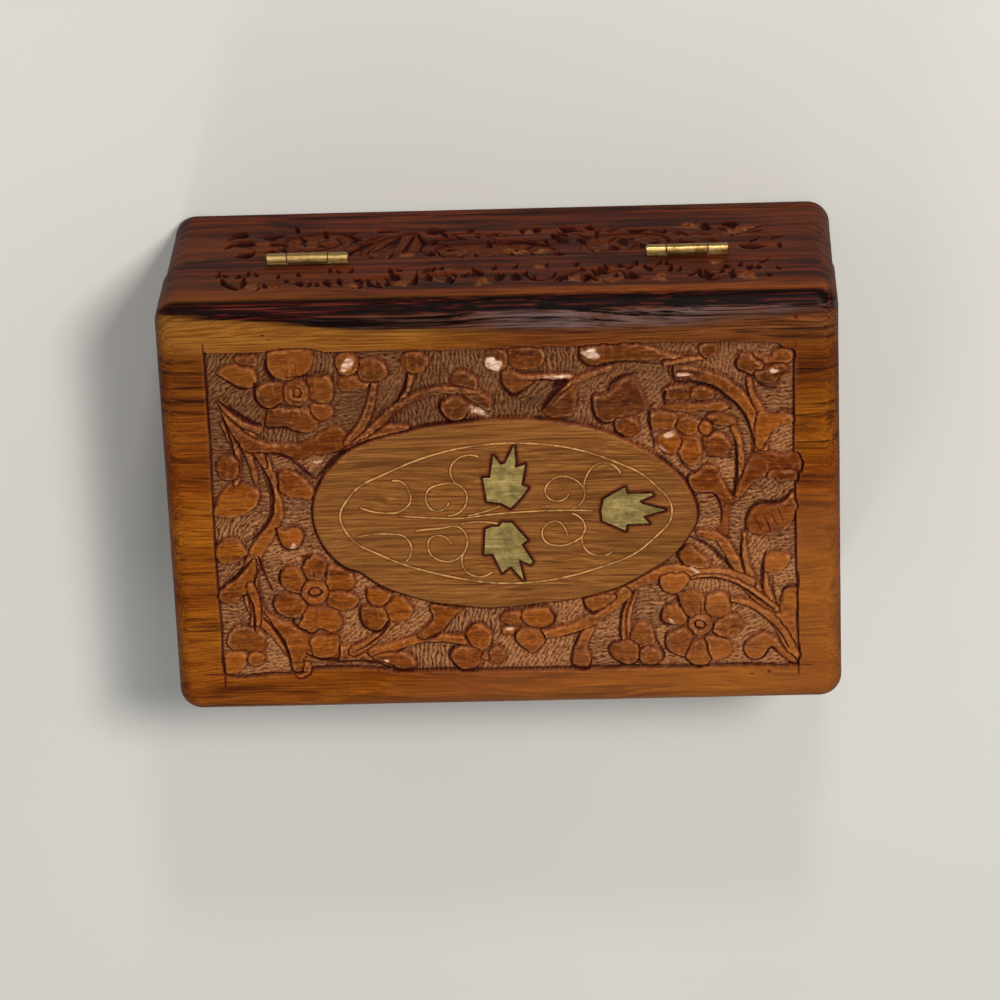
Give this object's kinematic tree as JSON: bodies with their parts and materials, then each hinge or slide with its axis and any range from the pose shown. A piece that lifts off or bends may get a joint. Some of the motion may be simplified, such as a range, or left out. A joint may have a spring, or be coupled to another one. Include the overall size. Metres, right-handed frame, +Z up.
{
  "type": "keepsake box",
  "caption": "Small rectangular hardwood keepsake box with a hinged lid, carved floral relief and a brass-inlaid oval on top, on brass butt hinges.",
  "frame": {"origin": "middle of the underside, on the surface the box stands on", "axes": "+Z up through the lid, +X right along the long side, +Y towards the hinges at the back"},
  "size_m": [0.1524, 0.1039, 0.058],
  "materials": {
    "rosewood": "oiled and rubbed, dark streaked grain along X",
    "inlay_sheet_brass": "filed flush, fine scratches, dull",
    "inlay_wire_brass": "sanded flush",
    "hinge_brass": "pressed sheet, lightly tarnished",
    "velvet_lining": "short-pile velvet on card"
  },
  "bodies": {
    "base": {"base_back_wall": "rosewood", "base_bottom_board": "rosewood", "base_floor_lining": "velvet_lining", "base_front_wall": "rosewood", "base_left_wall": "rosewood", "base_right_wall": "rosewood", "hinge_left_base_leaf": "hinge_brass", "hinge_right_base_leaf": "hinge_brass", "hinge_screws_base": "hinge_brass"},
    "lid": {"hinge_left_lid_leaf": "hinge_brass", "hinge_left_pin": "hinge_brass", "hinge_right_lid_leaf": "hinge_brass", "hinge_right_pin": "hinge_brass", "hinge_screws_lid": "hinge_brass", "inlay_branch_wire_back": "inlay_wire_brass", "inlay_branch_wire_front": "inlay_wire_brass", "inlay_leaf_back": "inlay_sheet_brass", "inlay_leaf_front": "inlay_sheet_brass", "inlay_leaf_right": "inlay_sheet_brass", "inlay_loop_wire_back": "inlay_wire_brass", "inlay_loop_wire_front": "inlay_wire_brass", "inlay_oval_wire": "inlay_wire_brass", "inlay_scroll_wire_back_left": "inlay_wire_brass", "inlay_scroll_wire_back_right": "inlay_wire_brass", "inlay_scroll_wire_front_left": "inlay_wire_brass", "inlay_scroll_wire_front_right": "inlay_wire_brass", "inlay_stem_wire": "inlay_wire_brass", "lid_back_wall": "rosewood", "lid_front_wall": "rosewood", "lid_left_wall": "rosewood", "lid_lining": "velvet_lining", "lid_right_wall": "rosewood", "lid_top_board": "rosewood"}
  },
  "joints": [
    {"name": "lid_hinge", "type": "hinge", "parent": "base", "child": "lid", "pos_m": [0, 0.05205, 0.034], "axis": [-1, 0, 0], "range_deg": [0, 180]}
  ]
}
